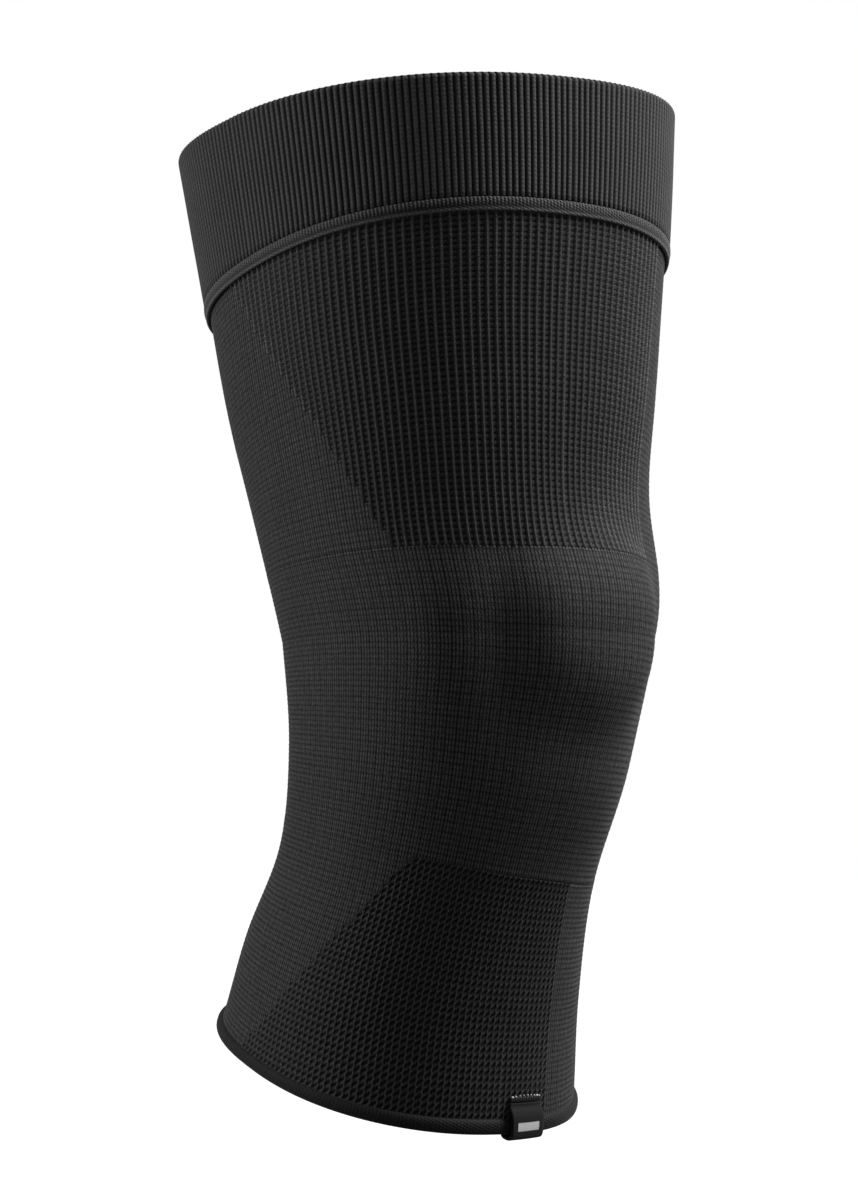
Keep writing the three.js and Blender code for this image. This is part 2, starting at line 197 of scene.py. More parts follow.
# %% Edges and laying
# an edge is its height along the leg, and how much higher it lies at the front and on the +X side
GAP = 0.3
CUFF_HEIGHT = 49
BAND_HEIGHT = 4
HEM_LIP = 1.2
TOP_EDGE = np.array([THIGH_LENGTH, -7, 0])
SEAM_EDGE = np.array([THIGH_LENGTH - CUFF_HEIGHT, 1.5, -2.5])
KNEE_TOP_EDGE = np.array([21, 0, -2])
KNEE_LOW_EDGE = np.array([-66, 0, -6])
HEM_EDGE = np.array([-CALF_LENGTH, 3, -0.6])
TURNS = np.linspace(0, 2 * math.pi, 181)  # once round the leg, every 2 degrees


def above(edge, distance):
    return edge + np.array([distance, 0, 0])


def girth_lengths(along):
    ring = leg_point(np.atleast_1d(along)[:, None], TURNS[None])
    steps = np.linalg.norm(np.diff(ring, axis=1), axis=-1)
    return np.concatenate([np.zeros((len(ring), 1)), np.cumsum(steps, 1)], 1)


def girth(along):
    return girth_lengths(along)[0, -1]


def share_at(along, angle):
    """The share of the girth at an angle, which may be negative."""
    turns, rest = divmod(angle, 2 * math.pi)
    lengths = girth_lengths(along)[0]
    return turns + np.interp(rest, TURNS, lengths) / lengths[-1]


def lay(edges, shares, out):
    """Points in metres for rows of edges (rows, 3), shares of the girth and distances from the leg."""
    shares = np.broadcast_to(shares, (len(edges), np.shape(shares)[-1]))
    lengths = girth_lengths(edges[:, 0])
    rows = zip(shares % 1, lengths)
    angle = np.stack([np.interp(share * length[-1], length, TURNS) for share, length in rows])
    along = edges[:, :1] + edges[:, 1:2] * np.cos(angle) + edges[:, 2:3] * np.sin(angle)
    return (leg_point(along, angle) + leg_normal(along, angle) * np.asarray(out)[..., None]) * MM


print("girth at hem, knee and rim, mm:", [round(girth(a)) for a in (-CALF_LENGTH, 0, THIGH_LENGTH)])

# %% [markdown]
# ## Meshes from arrays
# Hundreds of thousands of faces would take minutes if they were added one at a time. Arrays of
# corner numbers go into a mesh in one step each, so the whole sleeve takes seconds. A float
# attribute holds each corner's painted light: high on the crowns of the stitches, low in the gaps.
# The materials use it to paint shade into the gaps between yarns.


# %% A mesh from arrays of corners
def add_piece(name, points, uv, painted_light, groups, join=None):
    """groups are arrays of faces, each with one number of sides. join names a corner's twin.
    Faces of more than four sides are walls and caps. They stay flat, or they would tilt the light
    on the cloth beside them."""
    loops = np.concatenate([faces.ravel() for faces in groups])
    sides = np.concatenate([np.full(len(faces), faces.shape[1]) for faces in groups])
    corners = loops if join is None else join[loops]
    used, vertex_index = np.unique(corners, return_inverse=True)
    mesh = bpy.data.meshes.new(name)
    mesh.vertices.add(len(used))
    mesh.vertices.foreach_set("co", points[used].ravel().astype(np.float32))
    mesh.loops.add(len(loops))
    mesh.loops.foreach_set("vertex_index", vertex_index.ravel().astype(np.int32))
    mesh.polygons.add(len(sides))
    starts = np.cumsum(sides) - sides
    mesh.polygons.foreach_set("loop_start", starts.astype(np.int32))
    mesh.polygons.foreach_set("use_smooth", sides <= 4)
    mesh.update(calc_edges=True)
    layer = mesh.uv_layers.new(name="knit")
    layer.data.foreach_set("uv", uv[loops].ravel().astype(np.float32))
    # the layer of painted light: high on the stitches' crowns, low in the gaps where shade is painted
    height = mesh.attributes.new("painted_light", "FLOAT", "POINT")
    height.data.foreach_set("value", painted_light[used].astype(np.float32))
    piece = bpy.data.objects.new(name, mesh)
    bpy.context.collection.objects.link(piece)
    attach(piece, "root")
    print(f"{name}: {int((sides - 2).sum())} triangles")
    return piece


# %% [markdown]
# ## Knit made of cells
# One cell is one repeat of the open knit across and one course up, and the plain knit has two
# wales in it. A zone is a grid of cells, and a mask says which of them a piece has. So the slanted
# border of a panel comes out in small steps, as on a knitting machine that adds a needle every few
# courses. Each piece is a closed skin: fine relief outside, one face a cell inside, and walls
# where the mask ends.

# %% A piece of knit from a mask of cells
REPEATS = 159
KNIT_WALL = 1.6
KNIT_BACK = 0.1  # how far the inside lies off the leg
EVEN_PAINTED_LIGHT = 0.5  # the painted light of faces that have no stitches, halfway between gap and crown


def knit_piece(name, zone, kept, slot, fine, proud, stitch):
    """kept is a mask of (courses, cells). fine is how many faces a cell has across and up, and
    proud how many mm its stitches stand off the wall."""
    courses, cells = kept.shape
    across, up = fine
    rows, columns = courses * up + 1, cells * across + 1
    v = np.arange(rows) / up
    u = zone["first_cell"] + np.arange(columns) / across
    edges = zone["low"] + (zone["high"] - zone["low"]) * (v / courses)[:, None]
    height, painted_light = stitch(u[None], zone["first_course"] + v[:, None])
    # the first and last rows are level, so that zones meet without a crease
    height[1], height[-2] = height[0], height[-1]
    outer = lay(edges, u / REPEATS, KNIT_WALL + proud + height)
    inner = lay(edges[::up], u[::across] / REPEATS, np.full((courses + 1, cells + 1), KNIT_BACK))
    front = np.arange(rows * columns).reshape(rows, columns)
    back = front.size + np.arange(inner[..., 0].size).reshape(courses + 1, cells + 1)
    uv = [np.stack(np.broadcast_arrays(u[None], v[:, None] + zone["first_course"]), -1)]
    uv.append(uv[0][::up, ::across])
    join = np.arange(front.size + back.size)
    whole_ring = cells == REPEATS
    if whole_ring:
        join[front[:, -1]] = front[:, 0]
        join[back[:, -1]] = back[:, 0]
    r, c = np.nonzero(np.kron(kept, np.ones((up, across), bool)))
    faces = np.stack([front[r, c], front[r, c + 1], front[r + 1, c + 1], front[r + 1, c]], 1)
    j, i = np.nonzero(kept)
    backs = np.stack([back[j, i], back[j + 1, i], back[j + 1, i + 1], back[j, i + 1]], 1)
    groups = [faces, backs]
    beside = np.pad(kept, ((0, 0), (1, 1)), mode="wrap" if whole_ring else "constant")
    over = np.pad(kept, ((1, 1), (0, 0)))
    for side in (-1, 1):
        j, i = np.nonzero(kept & ~over[1 + side : 1 + side + courses])
        j = j + (side > 0)
        line = front[j[:, None] * up, i[:, None] * across + np.arange(across + 1)[::side]]
        ends = [back[j, i + (side > 0)], back[j, i + (side < 0)]]
        groups.append(np.column_stack([line, *ends]))
        j, i = np.nonzero(kept & ~beside[:, 1 + side : 1 + side + cells])
        i = i + (side > 0)
        line = front[j[:, None] * up + np.arange(up + 1)[::-side], i[:, None] * across]
        ends = [back[j + (side < 0), i], back[j + (side > 0), i]]
        groups.append(np.column_stack([line, *ends]))
    points = np.concatenate([outer.reshape(-1, 3), inner.reshape(-1, 3)])
    uv = np.concatenate([part.reshape(-1, 2) for part in uv])
    painted_light = np.broadcast_to(painted_light, front.shape).ravel()
    painted_light = np.concatenate([painted_light, np.full(back.size, EVEN_PAINTED_LIGHT)])
    return add_piece(name, points, uv, painted_light, [g for g in groups if len(g)], join)


# %% [markdown]
# ## Zones and panels
# The tube has three zones: plain knit round the knee, and a panel of open knit in front above it
# and below it. A panel's right border follows one wale, and its left border slants. The knitter
# puts open knit where the leg needs air, and leaves the sides and the knee firm.

# %% Zones of the tube
COURSE = 1.6
THIGH_PANEL = {"left_at_top": -102, "left_at_bottom": -55, "right": 34}
CALF_PANEL = {"left_at_top": -46, "left_at_bottom": -100, "right": 20}


def zone_between(low, high, first_course, first_cell=0):
    courses = round((high[0] - low[0]) / COURSE)
    zone = {"low": low, "high": high, "first_cell": first_cell, "first_course": first_course}
    return {**zone, "courses": courses}


def panel_mask(zone, panel):
    """Which cells of a zone are open knit. Cells are counted from the zone's first cell."""
    left_low = share_at(zone["low"][0], math.radians(panel["left_at_bottom"]))
    left_high = share_at(zone["high"][0], math.radians(panel["left_at_top"]))
    right = round(share_at(zone["low"][0], math.radians(panel["right"])) * REPEATS)
    up = (np.arange(zone["courses"])[:, None] + 0.5) / zone["courses"]
    left = np.round((left_low + (left_high - left_low) * up) * REPEATS)
    cell = zone["first_cell"] + np.arange(REPEATS)[None]
    return (cell >= left) & (cell < right)


HALF_ROUND = -(REPEATS // 2)
# half a course in, so that zones meet on a crown, where no groove can show the joint
FIRST_COURSE = 0.5
calf = zone_between(above(HEM_EDGE, HEM_LIP + GAP), KNEE_LOW_EDGE, FIRST_COURSE, HALF_ROUND)
knee = zone_between(KNEE_LOW_EDGE, KNEE_TOP_EDGE, FIRST_COURSE + calf["courses"])
thigh_start = knee["first_course"] + knee["courses"]
thigh = zone_between(KNEE_TOP_EDGE, above(SEAM_EDGE, BAND_HEIGHT), thigh_start, HALF_ROUND)
calf_open = panel_mask(calf, CALF_PANEL)
thigh_open = panel_mask(thigh, THIGH_PANEL)
print("courses:", calf["courses"], knee["courses"], thigh["courses"])
print("open cells:", int(calf_open.sum()), int(thigh_open.sum()))

# %% [markdown]
# ## Three stitches
# Each stitch is a function from knit coordinates to a height in mm and a painted light from 0 in
# the gaps to 1 on the crowns, which paints shade into the gaps. The plain knit is a fine grid of
# small cushions. Every third wale gap and every second course gap is deeper, because a firmer yarn
# is laid in there, and gets more painted shade. The thigh's panel has thin raised wales with
# stacked loops between them. The calf's panel has thin, slightly winding wales with beads and
# staggered holes.


# %% The stitches
WALE_GROOVE, COURSE_GROOVE = 0.15, 0.07  # mm deep, in the plain knit
FIRM_WALE, FIRM_COURSE = 0.05, 0.03  # mm deeper, where the firmer yarn lies
LADDER = {"wale": 0.34, "hole": 0.36, "loop": 0.3, "course": 0.12}  # mm up or down
BEADED = {"wale": 0.3, "hole": 0.32, "bead": 0.34}
OPEN_COURSE = 2.1  # mm, in the calf's panel


def wave(x):
    """1 at each whole number and 0 halfway between."""
    return 0.5 + 0.5 * np.cos(2 * math.pi * x)


def hump(distance, width):
    return np.exp(-((distance / width) ** 2))


def from_whole(x):
    """Distance from the nearest whole number, with its sign."""
    return x - np.round(x)


def plain_stitch(u, v):
    wale, course = 2 * u, v
    deep_wale = hump(from_whole(wale / 3) * 3, 0.3)
    deep_course = hump(from_whole(course / 2) * 2, 0.3)
    height = -WALE_GROOVE * wave(wale) - COURSE_GROOVE * wave(course)
    height = height - FIRM_WALE * deep_wale - FIRM_COURSE * deep_course
    # painted shade: darker in the gaps between wales and courses, darker still in the deeper gaps
    gap = np.maximum(wave(wale), 0.6 * wave(course))
    painted_light = 1 - 0.35 * gap - 0.3 * deep_wale - 0.1 * deep_course
    return height, np.clip(painted_light, 0, 1)


def ladder_stitch(u, v):
    wale = hump(from_whole(u), 0.16)
    between = from_whole(u + 0.5)
    loop = hump(between, 0.22) * wave(v + 3.5 * between**2)
    height = LADDER["wale"] * wale - LADDER["hole"] * (1 - wale)
    height = height + LADDER["loop"] * loop + LADDER["course"] * wale * wave(v)
    # painted light on the wales and loops, painted shade in the holes between them
    painted_light = wale * (0.7 + 0.3 * wave(v)) + 0.02 + 0.55 * loop * (1 - wale)
    return height, np.clip(painted_light, 0, 1)


def beaded_stitch(u, v):
    rung = v * COURSE / OPEN_COURSE
    sway = 0.1 * np.sin(2 * math.pi * rung)
    wale = hump(from_whole(u - sway), 0.13)
    bead = hump(from_whole(u + 0.5 + 0.8 * sway), 0.17) * wave(rung + 0.5)
    height = BEADED["wale"] * wale - BEADED["hole"] * (1 - wale) + BEADED["bead"] * bead
    # painted light on the wales and beads, painted shade in the holes
    painted_light = 0.75 * wale + 0.04 + 0.6 * bead * (1 - wale)
    return height, np.clip(painted_light, 0, 1)


print("plain stitch at its crown:", [float(x) for x in plain_stitch(0.25, 0.5)])

# %% [markdown]
# ## The knit tube
# Five pieces make the tube, and each stands for the frame's solid in the same place. One tube with
# a mask painted on it would be simpler, but the panels have their own stitch, depth and finish.

# %% Plain and open knit
PLAIN_FINE = (4, 2)
OPEN_FINE = (6, 4)
OPEN_PROUD = 0.05
knee_mask = np.ones((knee["courses"], REPEATS), bool)


def trimmed(zone, mask):
    """The part of a zone's columns in which a mask has cells."""
    columns = np.nonzero(mask.any(0))[0]
    first, last = columns[0], columns[-1] + 1
    return {**zone, "first_cell": zone["first_cell"] + first}, mask[:, first:last]


plain_look = ("knit", PLAIN_FINE, 0)
knee_knit = knit_piece("knee_stitches", knee, knee_mask, *plain_look, plain_stitch)
thigh_knit = knit_piece("thigh_plain_stitches", thigh, ~thigh_open, *plain_look, plain_stitch)
calf_knit = knit_piece("calf_plain_stitches", calf, ~calf_open, *plain_look, plain_stitch)
thigh_panel = trimmed(thigh, thigh_open)
calf_panel = trimmed(calf, calf_open)
open_look = ("open_knit", OPEN_FINE, OPEN_PROUD)
thigh_mesh = knit_piece("thigh_open_stitches", *thigh_panel, *open_look, ladder_stitch)
calf_mesh = knit_piece("calf_open_stitches", *calf_panel, *open_look, beaded_stitch)
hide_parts("knee_knit")
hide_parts("thigh_plain_knit")
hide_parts("calf_plain_knit")
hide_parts("thigh_open_knit")
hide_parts("calf_open_knit")

# %% [markdown]
# ## Rings round the leg
# The cuff, the edging and the hem go all the way round, each as a closed outline that is swept
# round the leg. A bevelled curve could sweep them too. Rows on the leg's surface keep the ribs
# upright and the outline where the leg puts it, so one function lays all three.


# %% Rings swept from an outline
def ring_piece(name, slot, low, high, outline, repeats, across, stitch):
    """outline rows are (up in mm, out in mm), up the outside and down the inside. stitch gets the
    repeat, the way along the outline and the height up, and uses what it needs of them."""
    up, out = np.array(outline).T
    turn_back = np.append(np.arange(len(up)), 0)
    share_up = up[turn_back] / (high[0] - low[0])
    edges = low + (high - low) * share_up[:, None]
    steps = np.hypot(np.diff(up[turn_back]), np.diff(out[turn_back]))
    along = np.concatenate([[0], np.cumsum(steps)])
    columns = repeats * across + 1
    u = np.arange(columns) / across
    height, painted_light = stitch(u[None], along[:, None], up[turn_back][:, None])
    height[-1], painted_light[-1] = height[0], painted_light[0]
    away = np.sign(out[turn_back] - out.mean())[:, None]
    points = lay(edges, u / repeats, out[turn_back][:, None] + height * away)
    grid = np.arange(points[..., 0].size).reshape(len(up) + 1, columns)
    join = np.arange(grid.size)
    join[grid[:, -1]] = grid[:, 0]
    join[grid[-1]] = grid[0]
    join[grid[-1, -1]] = grid[0, 0]
    faces = np.stack([grid[:-1, :-1], grid[:-1, 1:], grid[1:, 1:], grid[1:, :-1]], -1)
    uv = np.stack(np.broadcast_arrays(u[None], along[:, None]), -1).reshape(-1, 2)
    points = points.reshape(-1, 3)
    return add_piece(name, points, uv, painted_light.ravel(), [faces.reshape(-1, 4)], join)


def rounded_outline(height, inner, outer, count, fullness):
    """A closed rounded box that starts at its bottom and goes up the outside."""
    turns = np.linspace(-math.pi / 2, 1.5 * math.pi, count, endpoint=False)
    circle = np.column_stack([np.sin(turns), np.cos(turns)])
    sine, cosine = (np.sign(circle) * np.abs(circle) ** (2 / fullness)).T
    out = (inner + outer) / 2 + (outer - inner) / 2 * cosine
    return np.column_stack([height / 2 + height / 2 * sine, out])


# %% [markdown]
# ## The ribbed cuff
# The cuff is a doubled ribbing, folded over at the top, which grips the thigh and keeps the sleeve
# up. Its ribs are broad and rounded, with narrow grooves between them. A plain ring with a striped
# bump would do from the front, but its rim would be smooth. With real grooves the ribs go on over
# the fold.

# %% The cuff
CUFF_WALL = 2.8
CUFF_CORNER = 0.4
CUFF_OUT_ROWS, CUFF_IN_ROWS, FOLD_STEPS = 26, 9, 8
RIB_PITCH = 2.12
RIB_FACES = 6


def rib_stitch(u, along, up):
    groove = hump(from_whole(u), 0.15)
    crown = wave(u + 0.5)
    course = 0.5 * wave(along / COURSE)
    height = -0.55 * groove + 0.1 * crown + 0.04 * course
    # painted shade in the grooves and down the ribs' slopes, painted light on their crowns
    painted_light = 1 - 0.95 * groove - 0.5 * (1 - crown) - 0.1 * course
    return height, np.clip(painted_light, 0, 1)


cuff_low = above(SEAM_EDGE, BAND_HEIGHT + GAP / 3)
fold = (CUFF_WALL - GAP) / 2  # the radius of the rim
fold_from = TOP_EDGE[0] - cuff_low[0] - fold
bend = np.linspace(0, math.pi, FOLD_STEPS + 1)[1:-1]
cuff_outline = [(up, CUFF_WALL) for up in np.linspace(CUFF_CORNER, fold_from, CUFF_OUT_ROWS)]
cuff_outline += [(fold_from + fold * math.sin(t), GAP + fold + fold * math.cos(t)) for t in bend]
cuff_outline += [(up, GAP) for up in np.linspace(fold_from, CUFF_CORNER, CUFF_IN_ROWS)]
cuff_outline += [(0, GAP + CUFF_CORNER), (0, CUFF_WALL - CUFF_CORNER)]
ribs = round(girth(THIGH_LENGTH) / RIB_PITCH)
cuff_shape = ("cuff_ribbing", "ribbing", cuff_low, TOP_EDGE, cuff_outline)
cuff = ring_piece(*cuff_shape, ribs, RIB_FACES, rib_stitch)
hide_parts("thigh_cuff")
print(ribs, "ribs,", len(cuff_outline), "rows")

# %% [markdown]
# ## The seam edging
# A narrow band of overcast stitches covers the seam between the cuff and the tube. It has a thin
# cord along its lower edge, a groove, and above it the turns of the thread. A bevelled curve with
# a bump is the quick way. This band is the brightest line on the sleeve, so its cord, groove and
# turns are real, on rows that lie close enough to hold them.

# %% The edging
BAND_WALL = 1.3
BAND_ROWS = 26
EDGING_THREADS = 384
THREAD_FACES = 4


def overcast_stitch(u, along, up):
    share = up / BAND_HEIGHT
    cord = hump(share - 0.1, 0.12) * (0.5 + 0.5 * wave(u))
    groove = hump(share - 0.32, 0.07)
    thread = wave(u + 0.5 * share) ** 1.6 * np.clip((share - 0.35) * 10, 0, 1)
    height = 0.3 * thread - 0.12 + 0.16 * cord - 0.12 * groove
    # painted light on the thread's turns and the cord, painted shade in the groove
    painted_light = 0.08 + 0.85 * thread + 0.85 * cord - 0.1 * groove
    return height, np.clip(painted_light, 0, 1)


band_in = KNIT_WALL + GAP / 2
band_outline = rounded_outline(BAND_HEIGHT, band_in, band_in + BAND_WALL, BAND_ROWS, fullness=3.2)
band_top = above(SEAM_EDGE, BAND_HEIGHT)
band_shape = ("cuff_seam_edging", "seam_band", SEAM_EDGE, band_top, band_outline)
band = ring_piece(*band_shape, EDGING_THREADS, THREAD_FACES, overcast_stitch)
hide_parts("cuff_seam_band")
print(EDGING_THREADS, "turns of thread")

# %% [markdown]
# ## The rolled hem
# At the calf the knit is turned under and sewn down, and pulls itself into a soft roll. A round
# tube would stand too proud of the knit, so the roll is a rounded box. Its loops are strongest
# near its upper edge and fade below, and painted light makes them lighter near that edge.

# %% The hem
HEM_HEIGHT = 4.2
HEM_WALL = 1
HEM_INSIDE = -0.1
HEM_ROWS = 22
LOOP_FACES = 4


def hem_stitch(u, along, up):
    loop = wave(u + 0.1 * np.sin(along * 1.3))
    height = 0.09 * loop * hump(up - 0.6 * HEM_HEIGHT, 2.4)
    # painted light on the loops near the roll's top edge; lower down the roll stays darker
    return height, np.clip(0.45 + 0.5 * loop * hump(up - HEM_HEIGHT, 2.2), 0, 1)


hem_out = KNIT_WALL + GAP + HEM_WALL
hem_outline = rounded_outline(HEM_HEIGHT, HEM_INSIDE, hem_out, HEM_ROWS, fullness=2.6)
hem_shape = ("calf_hem_roll", "hem", HEM_EDGE, above(HEM_EDGE, HEM_HEIGHT), hem_outline)
hem = ring_piece(*hem_shape, 2 * REPEATS, LOOP_FACES, hem_stitch)
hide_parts("calf_hem")
print("hem stands out", hem_out, "mm")

# %% [markdown]
# ## The loop label
# A short woven tape is folded under the hem and held by a bar of dense stitches. It could be a flat
# card, but a real loop stands a little off the hem and shows its thickness at the side. So its
# centre line goes down the outside, round the fold and up the inside, and the tape has its real
# thickness on both sides of that line.

# %% Sizes of the label
LABEL_WIDTH = 12.5
LABEL_RISE = 8.6
LABEL_TUCK = 8
LABEL_TAPE = 0.8
LABEL_ANGLE = math.radians(9)
TAPE_COLUMNS = 26
TAPE_STEPS = 4
CURL = 0.7  # mm that the outer leaf's -X edge stands off the hem
label_share = share_at(HEM_EDGE[0], LABEL_ANGLE)
hem_girth = girth(HEM_EDGE[0])
on_knit = KNIT_WALL + 0.6 * GAP + LABEL_TAPE / 2
over_hem = hem_out + GAP + LABEL_TAPE / 2 + 0.3
under_hem = -GAP - LABEL_TAPE / 2
# the tape's centre line: (out, up)
TAPE_LINE = [
    (on_knit, LABEL_RISE),
    (on_knit + 0.15, LABEL_RISE - 1.2),
    (over_hem - 0.5, HEM_HEIGHT + 1.9),
    (over_hem, HEM_HEIGHT + 0.5),
    (over_hem + 0.15, 2),
    (over_hem - 0.1, 0),
    (over_hem - 0.9, -0.85),
    ((over_hem + under_hem) / 2, -1.1),
    (under_hem + 0.7, -0.85),
    (under_hem, 0.2),
    (under_hem, LABEL_TUCK / 2),
    (under_hem, LABEL_TUCK),
]


def smooth_line(points, steps):
    """A smooth line through points, with steps between each two."""
    points = np.array(points, float)
    slopes = np.gradient(points, axis=0)
    t = np.linspace(0, 1, steps, endpoint=False)[:, None]
    spans = zip(points[:-1], points[1:], slopes[:-1], slopes[1:])
    return np.concatenate([*(cubic(t, *span) for span in spans), points[-1:]])


print("label's middle, as a share of the hem's girth:", round(float(label_share), 3))


# %% The label's tape
def tape_piece():
    line = smooth_line(TAPE_LINE, TAPE_STEPS)
    ahead = np.gradient(line, axis=0)
    side = np.column_stack([-ahead[:, 1], ahead[:, 0]])
    side = side / np.linalg.norm(side, axis=1, keepdims=True) * LABEL_TAPE / 2
    outline = np.concatenate([line + side, (line - side)[::-1]])
    length = np.concatenate([[0], np.cumsum(np.linalg.norm(np.diff(line, axis=0), axis=1))])
    length = np.concatenate([length, length[::-1]])
    x = np.linspace(-LABEL_WIDTH / 2, LABEL_WIDTH / 2, TAPE_COLUMNS)
    edges = HEM_EDGE + np.outer(outline[:, 1], [1, 0, 0])
    outer_leaf = np.clip((outline[:, :1] - 1) / 2, 0, 1)
    toward_fold = np.clip(1 - outline[:, 1:] / LABEL_RISE, 0, 1)
    stand_off = CURL * outer_leaf * toward_fold * (x[None] / LABEL_WIDTH - 0.5) ** 2
    points = lay(edges, label_share + x / hem_girth, outline[:, :1] + stand_off)
    rows = len(outline)
    grid = np.arange(rows * TAPE_COLUMNS).reshape(rows, TAPE_COLUMNS)
    next_row = np.roll(grid, -1, axis=0)
    faces = np.stack([grid[:, :-1], next_row[:, :-1], next_row[:, 1:], grid[:, 1:]], -1)
    ends = []
    for k in range(rows // 2 - 1):
        a, b, c, d = k, k + 1, rows - 2 - k, rows - 1 - k
        ends.append([grid[a, 0], grid[d, 0], grid[c, 0], grid[b, 0]])
        ends.append([grid[a, -1], grid[b, -1], grid[c, -1], grid[d, -1]])
    uv = np.stack(np.broadcast_arrays(x[None], length[:, None]), -1).reshape(-1, 2)
    groups = [faces.reshape(-1, 4), np.array(ends)]
    painted_light = np.full(points[..., 0].size, EVEN_PAINTED_LIGHT)
    return add_piece("loop_label_tape", points.reshape(-1, 3), uv, painted_light, groups)


label = tape_piece()
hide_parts("hem_label")


# %% [markdown]
# ## Small stitches
# A bar of dark satin stitches holds the tape's top, and a few pale threads show above it. Each is
# an egg-shaped bead laid on the knit. A texture would be lighter, but these threads are the
# brightest points on the sleeve, so they get a form of their own.


# %% Stitches as small beads
BEAD_END = 1.35  # radians up from a bead's middle to its last ring


def bead_group(name, beads, edge, rings=7, spokes=8):
    """beads are rows of (across, up, out) in mm and their three half sizes."""
    lift = np.sin(np.linspace(-BEAD_END, BEAD_END, rings))
    spread = np.sqrt(1 - lift**2)
    turn = np.arange(spokes) / spokes * 2 * math.pi
    points, quads, caps = [], [], []
    for number, (x, up, out, half_x, half_up, half_out) in enumerate(beads):
        edges = edge + np.outer(up + half_up * lift, [1, 0, 0])
        across = x + half_x * spread[:, None] * np.cos(turn)
        shares = label_share + across / hem_girth
        points.append(lay(edges, shares, out + half_out * spread[:, None] * np.sin(turn)))
        grid = number * rings * spokes + np.arange(rings * spokes).reshape(rings, spokes)
        right = np.roll(grid, -1, axis=1)
        quad = np.stack([grid[:-1], grid[1:], right[1:], right[:-1]], -1)
        quads.append(quad.reshape(-1, 4))
        caps += [grid[0], grid[-1][::-1]]
    points = np.concatenate(points).reshape(-1, 3)
    uv = np.tile(np.stack(np.meshgrid(turn, lift), -1).reshape(-1, 2), (len(beads), 1))
    groups = [np.concatenate(quads), np.array(caps)]
    return add_piece(name, points, uv, np.full(len(points), EVEN_PAINTED_LIGHT), groups)


# %% The bar and the pale threads
TACK_STITCHES = 16
TACK_HEIGHT = 1.7
TACK_INSET = 0.7  # from each edge of the tape
TACK_LIFT = 0.25  # off the knit
TACK_HALF_ACROSS, TACK_HALF_OUT = 0.42, 0.5
tack_low = LABEL_RISE + 0.1
tack_x = np.linspace(-0.5, 0.5, TACK_STITCHES) * (LABEL_WIDTH - 2 * TACK_INSET)
tack_out = KNIT_WALL + GAP + TACK_LIFT
tack_half = (TACK_HALF_ACROSS, TACK_HEIGHT / 2, TACK_HALF_OUT)
tack_beads = [(x, tack_low + TACK_HEIGHT / 2, tack_out, *tack_half) for x in tack_x]
tack = bead_group("label_bar_stitches", tack_beads, HEM_EDGE)
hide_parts("label_bar_tack")

# where each pale thread is, as a share of the tape's width, and how long it is in mm
PALE_THREADS = [(-0.43, 1.0), (-0.33, 0.5), (-0.2, 0.45), (-0.08, 0.4), (0.05, 0.5)]
PALE_THREADS += [(0.16, 0.45), (0.27, 0.5), (0.37, 1.1), (0.45, 0.6)]
PALE_HALF = 0.26
PALE_DROOP = 2.2  # how far the row bends down to its ends
pale_up = tack_low + TACK_HEIGHT + 0.25
pale_beads = []
for share, length in PALE_THREADS:
    middle = (share * LABEL_WIDTH, pale_up - PALE_DROOP * share**2, tack_out + 0.3)
    pale_beads.append((*middle, length / 2, PALE_HALF, PALE_HALF))
pale_threads = bead_group("label_pale_stitches", pale_beads, HEM_EDGE)

# %% [markdown]
# ## The knit's flat size
# Every knit piece is a sheet of cloth, stretched over a leg. Its flat size is the relaxed size from
# the machine: a tube like this is knitted about a tenth narrower than the leg it goes on. Each
# piece's flat size is worked out here and printed.

# %% Flat sizes of the knit
RELAXED = 0.9


def declare_knit(piece, zone, round_share):
    """round_share is the piece's mean share of the girth."""
    middle = (zone["low"][0] + zone["high"][0]) / 2
    width = girth(middle) * round_share * RELAXED * MM
    length = (zone["high"][0] - zone["low"][0]) * MM
    print(f"{piece.name}: flat {width / MM:.0f} by {length / MM:.0f} mm")


declare_knit(knee_knit, knee, 1)
declare_knit(thigh_knit, thigh, 1 - thigh_open.mean())
declare_knit(thigh_mesh, thigh, thigh_open.mean())
declare_knit(calf_knit, calf, 1 - calf_open.mean())
declare_knit(calf_mesh, calf, calf_open.mean())
declare_knit(cuff, {"low": cuff_low, "high": TOP_EDGE}, 1)

# %% [markdown]
# ## Sums on sockets
# Shader maths is easier to read as sums than as a row of nodes. So a small class wraps a socket,
# and an ordinary Python expression on it adds the Math nodes. Every other node comes from one
# method, which sets the node's settings first and its sockets after.


